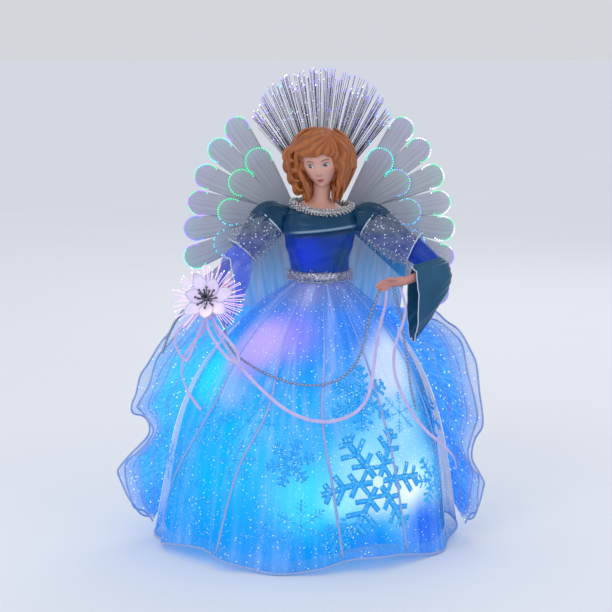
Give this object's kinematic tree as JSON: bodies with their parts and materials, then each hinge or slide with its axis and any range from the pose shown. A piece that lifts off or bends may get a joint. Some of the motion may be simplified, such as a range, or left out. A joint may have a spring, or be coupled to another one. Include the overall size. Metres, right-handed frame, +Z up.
{
  "type": "angel tree topper",
  "caption": "Lit angel tree topper on a cone: doll's head, satin bodice, organza gown, fibre-optic halo, folding petal wings and lifting arms with a fibre flower, ribbon and bead garland.",
  "frame": {"origin": "on the light cone's axis in the plane of its foot, where the tree's tip enters", "axes": "+Z up along the cone's axis, -Y towards the front of the figure, +X towards the figure's own left"},
  "size_m": [0.3182, 0.2228, 0.4055],
  "materials": {
    "white_plastic": "moulded ABS, satin",
    "grey_plastic": "moulded nylon, satin",
    "black_plastic": "moulded, satin",
    "steel": "bright zinc plating",
    "circuit_board": "green glass-fibre laminate",
    "clear_lens": "clear moulded lens",
    "tinted_film": "clear disc with coloured segments",
    "optical_fibre": "clear drawn fibre, lit at the ends",
    "painted_skin": "soft moulded doll's skin",
    "moulded_hair": "moulded and painted orange-brown",
    "blue_satin": "woven satin with a sheen",
    "glitter_organza": "sheer organza with silver glitter print",
    "skirt_lining": "smooth lining cloth",
    "glitter_tulle": "blue-grey tulle with tinsel",
    "silver_braid": "metallised plastic beads and tinsel",
    "white_organza": "white translucent cloth",
    "satin_ribbon": "narrow lilac satin ribbon",
    "dark_stamen": "dark metallised stamens"
  },
  "bodies": {
    "body": {"base_cone": "white_plastic", "lamp_housing": "white_plastic", "lamp_lid": "white_plastic", "lid_screw_1": "steel", "lid_screw_2": "steel", "led_board": "circuit_board", "led_lens": "clear_lens", "gear_motor": "steel", "fibre_ferrule": "grey_plastic", "fibre_trunk": "optical_fibre", "skirt_lamp_1": "clear_lens", "skirt_lamp_2": "clear_lens", "skirt_lamp_3": "clear_lens", "dc_socket": "black_plastic", "switch_body": "black_plastic", "torso_form": "white_plastic", "bodice": "blue_satin", "collar_braid": "silver_braid", "waist_trim": "silver_braid", "head": "painted_skin", "hair": "moulded_hair", "halo_fibres": "optical_fibre", "overskirt": "glitter_organza", "skirt_lining": "skirt_lining", "ruffle_right": "glitter_organza", "ruffle_left": "glitter_organza", "wing_bracket": "grey_plastic"},
    "colour_wheel": {"colour_wheel": "tinted_film"},
    "switch_knob": {"switch_knob": "grey_plastic"},
    "left_wing": {"left_wing_root": "grey_plastic", "left_outer_petals": "white_organza", "left_inner_petals": "white_organza"},
    "right_wing": {"right_wing_root": "grey_plastic", "right_outer_petals": "white_organza", "right_inner_petals": "white_organza"},
    "left_arm": {"left_arm": "white_plastic", "left_cuff": "blue_satin", "left_sleeve": "blue_satin", "left_oversleeve": "glitter_tulle", "left_hand": "painted_skin", "bead_swag_left": "silver_braid", "ribbon_swag_left": "satin_ribbon", "bead_tail_left": "silver_braid", "ribbon_tail_left": "satin_ribbon"},
    "right_arm": {"right_arm": "white_plastic", "right_cuff": "blue_satin", "right_sleeve": "blue_satin", "right_oversleeve": "glitter_tulle", "right_hand": "painted_skin", "flower_fibres": "optical_fibre", "flower_petals": "white_organza", "flower_stamens": "dark_stamen", "ribbon_knot": "satin_ribbon", "bead_swag_right": "silver_braid", "ribbon_swag_right": "satin_ribbon", "bead_tail_right": "silver_braid", "ribbon_tail_right": "satin_ribbon", "ribbon_loop_front": "satin_ribbon", "ribbon_loop_side": "satin_ribbon"}
  },
  "joints": [
    {"name": "colour_wheel_spin", "type": "hinge", "parent": "body", "child": "colour_wheel", "pos_m": [0.009, 0, 0.12], "axis": [0, 0, 1], "continuous": true},
    {"name": "switch_slide", "type": "slide", "parent": "body", "child": "switch_knob", "axis": [1, 0, 0], "range_m": [0, 0.004]},
    {"name": "left_wing_fold", "type": "hinge", "parent": "body", "child": "left_wing", "pos_m": [0.014, 0.0317, 0.26], "axis": [0, 0, 1], "range_deg": [0, 35]},
    {"name": "right_wing_fold", "type": "hinge", "parent": "body", "child": "right_wing", "pos_m": [-0.014, 0.0317, 0.26], "axis": [0, 0, -1], "range_deg": [0, 35]},
    {"name": "left_arm_swing", "type": "hinge", "parent": "body", "child": "left_arm", "pos_m": [0.0337, 0, 0.279], "axis": [-1, 0, 0], "range_deg": [0, 25]},
    {"name": "right_arm_swing", "type": "hinge", "parent": "body", "child": "right_arm", "pos_m": [-0.0337, 0, 0.279], "axis": [-1, 0, 0], "range_deg": [0, 25]}
  ]
}
